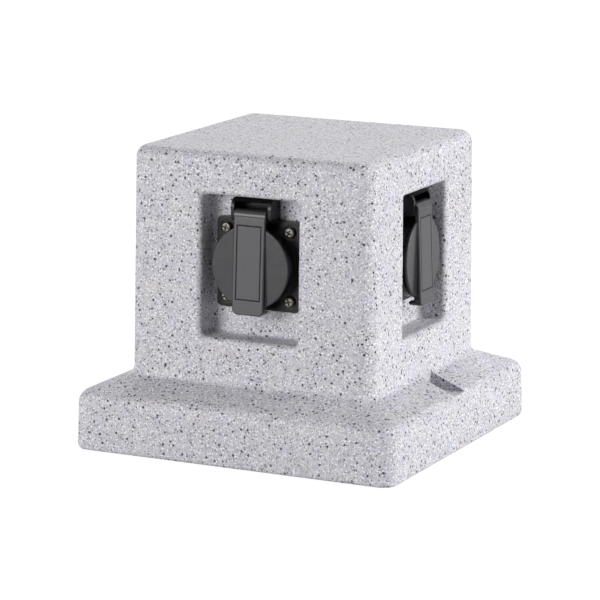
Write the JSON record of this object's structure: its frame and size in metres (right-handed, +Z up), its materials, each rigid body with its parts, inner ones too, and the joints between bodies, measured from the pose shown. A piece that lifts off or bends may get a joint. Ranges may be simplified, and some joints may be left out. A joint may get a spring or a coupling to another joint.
{
  "type": "outdoor socket block",
  "caption": "Stone-look garden mains block on a flared foot, with a sunk pocket and a spring-lidded round socket in each side.",
  "frame": {"origin": "centre of the foot's underside, on the ground", "axes": "+Z up, front pocket at -Y, ground fixings on the X axis"},
  "size_m": [0.1924, 0.1924, 0.1682],
  "materials": {
    "granite": "moulded plastic with a grey granite fleck, light satin",
    "socket_black": "black moulded plastic, satin",
    "lid_black": "black moulded plastic, half gloss",
    "seal_rubber": "black soft rubber",
    "brass": "bright rolled brass",
    "plated_steel": "bright zinc-plated steel",
    "pin_steel": "drawn stainless steel",
    "base_grey": "dark grey moulded plastic",
    "strip_white": "off-white moulded plastic"
  },
  "bodies": {
    "block": {"housing": "granite", "base_plate": "base_grey", "base_gasket": "seal_rubber", "flange_screws": "plated_steel", "clamp_screws": "plated_steel", "plate_screws": "plated_steel", "terminal_strip": "strip_white", "front_frame": "socket_black", "front_gasket": "seal_rubber", "front_spring": "pin_steel", "front_hinge_pin": "pin_steel", "front_terminal_base": "socket_black", "front_pin_contacts": "brass", "front_earth_clip": "brass", "right_frame": "socket_black", "right_gasket": "seal_rubber", "right_spring": "pin_steel", "right_hinge_pin": "pin_steel", "right_terminal_base": "socket_black", "right_pin_contacts": "brass", "right_earth_clip": "brass", "back_frame": "socket_black", "back_gasket": "seal_rubber", "back_spring": "pin_steel", "back_hinge_pin": "pin_steel", "back_terminal_base": "socket_black", "back_pin_contacts": "brass", "back_earth_clip": "brass", "left_frame": "socket_black", "left_gasket": "seal_rubber", "left_spring": "pin_steel", "left_hinge_pin": "pin_steel", "left_terminal_base": "socket_black", "left_pin_contacts": "brass", "left_earth_clip": "brass"},
    "front_lid": {"front_lid": "lid_black", "front_lid_seal": "seal_rubber"},
    "right_lid": {"right_lid": "lid_black", "right_lid_seal": "seal_rubber"},
    "back_lid": {"back_lid": "lid_black", "back_lid_seal": "seal_rubber"},
    "left_lid": {"left_lid": "lid_black", "left_lid_seal": "seal_rubber"}
  },
  "joints": [
    {"name": "front_lid_hinge", "type": "hinge", "parent": "block", "child": "front_lid", "pos_m": [0, -0.0684, 0.1345], "axis": [-1, 0, 0], "range_deg": [0, 120], "stiffness_Nm_per_rad": 0.012, "springref_deg": -45.84},
    {"name": "right_lid_hinge", "type": "hinge", "parent": "block", "child": "right_lid", "pos_m": [0.0684, 0, 0.1345], "axis": [0, -1, 0], "range_deg": [0, 120], "stiffness_Nm_per_rad": 0.012, "springref_deg": -45.84},
    {"name": "back_lid_hinge", "type": "hinge", "parent": "block", "child": "back_lid", "pos_m": [0, 0.0684, 0.1345], "axis": [1, 0, 0], "range_deg": [0, 120], "stiffness_Nm_per_rad": 0.012, "springref_deg": -45.84},
    {"name": "left_lid_hinge", "type": "hinge", "parent": "block", "child": "left_lid", "pos_m": [-0.0684, 0, 0.1345], "axis": [0, 1, 0], "range_deg": [0, 120], "stiffness_Nm_per_rad": 0.012, "springref_deg": -45.84}
  ]
}
